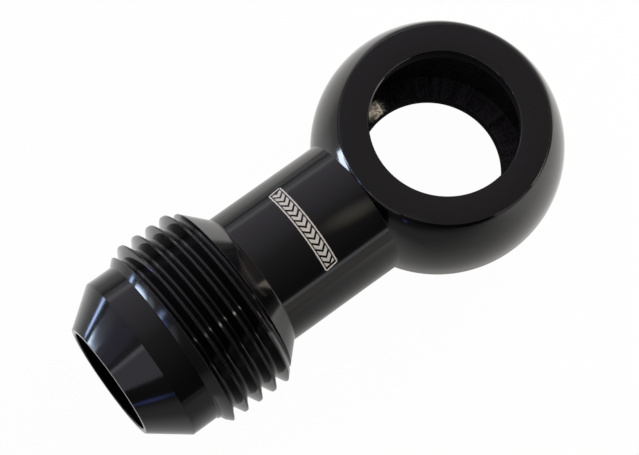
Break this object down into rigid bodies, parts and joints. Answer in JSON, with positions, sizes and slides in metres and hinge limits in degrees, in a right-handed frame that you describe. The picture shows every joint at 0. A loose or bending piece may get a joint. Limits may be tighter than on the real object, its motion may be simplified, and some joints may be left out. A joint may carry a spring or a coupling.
{
  "type": "banjo fitting",
  "caption": "Turned banjo fitting: ball-shaped eye with a cross bore for a hollow bolt, round stem and threaded 37 degree male flare end.",
  "frame": {"origin": "on the axis of the bolt bore, half way between the two sealing faces", "axes": "+Z along the bolt bore, square to the upper sealing face; -X along the stem towards the flare end"},
  "size_m": [0.05, 0.024, 0.019],
  "materials": {
    "black_anodised_aluminium": "glossy black anodised over fine turning marks"
  },
  "bodies": {
    "root": {"fitting_body": "black_anodised_aluminium"}
  },
  "joints": []
}
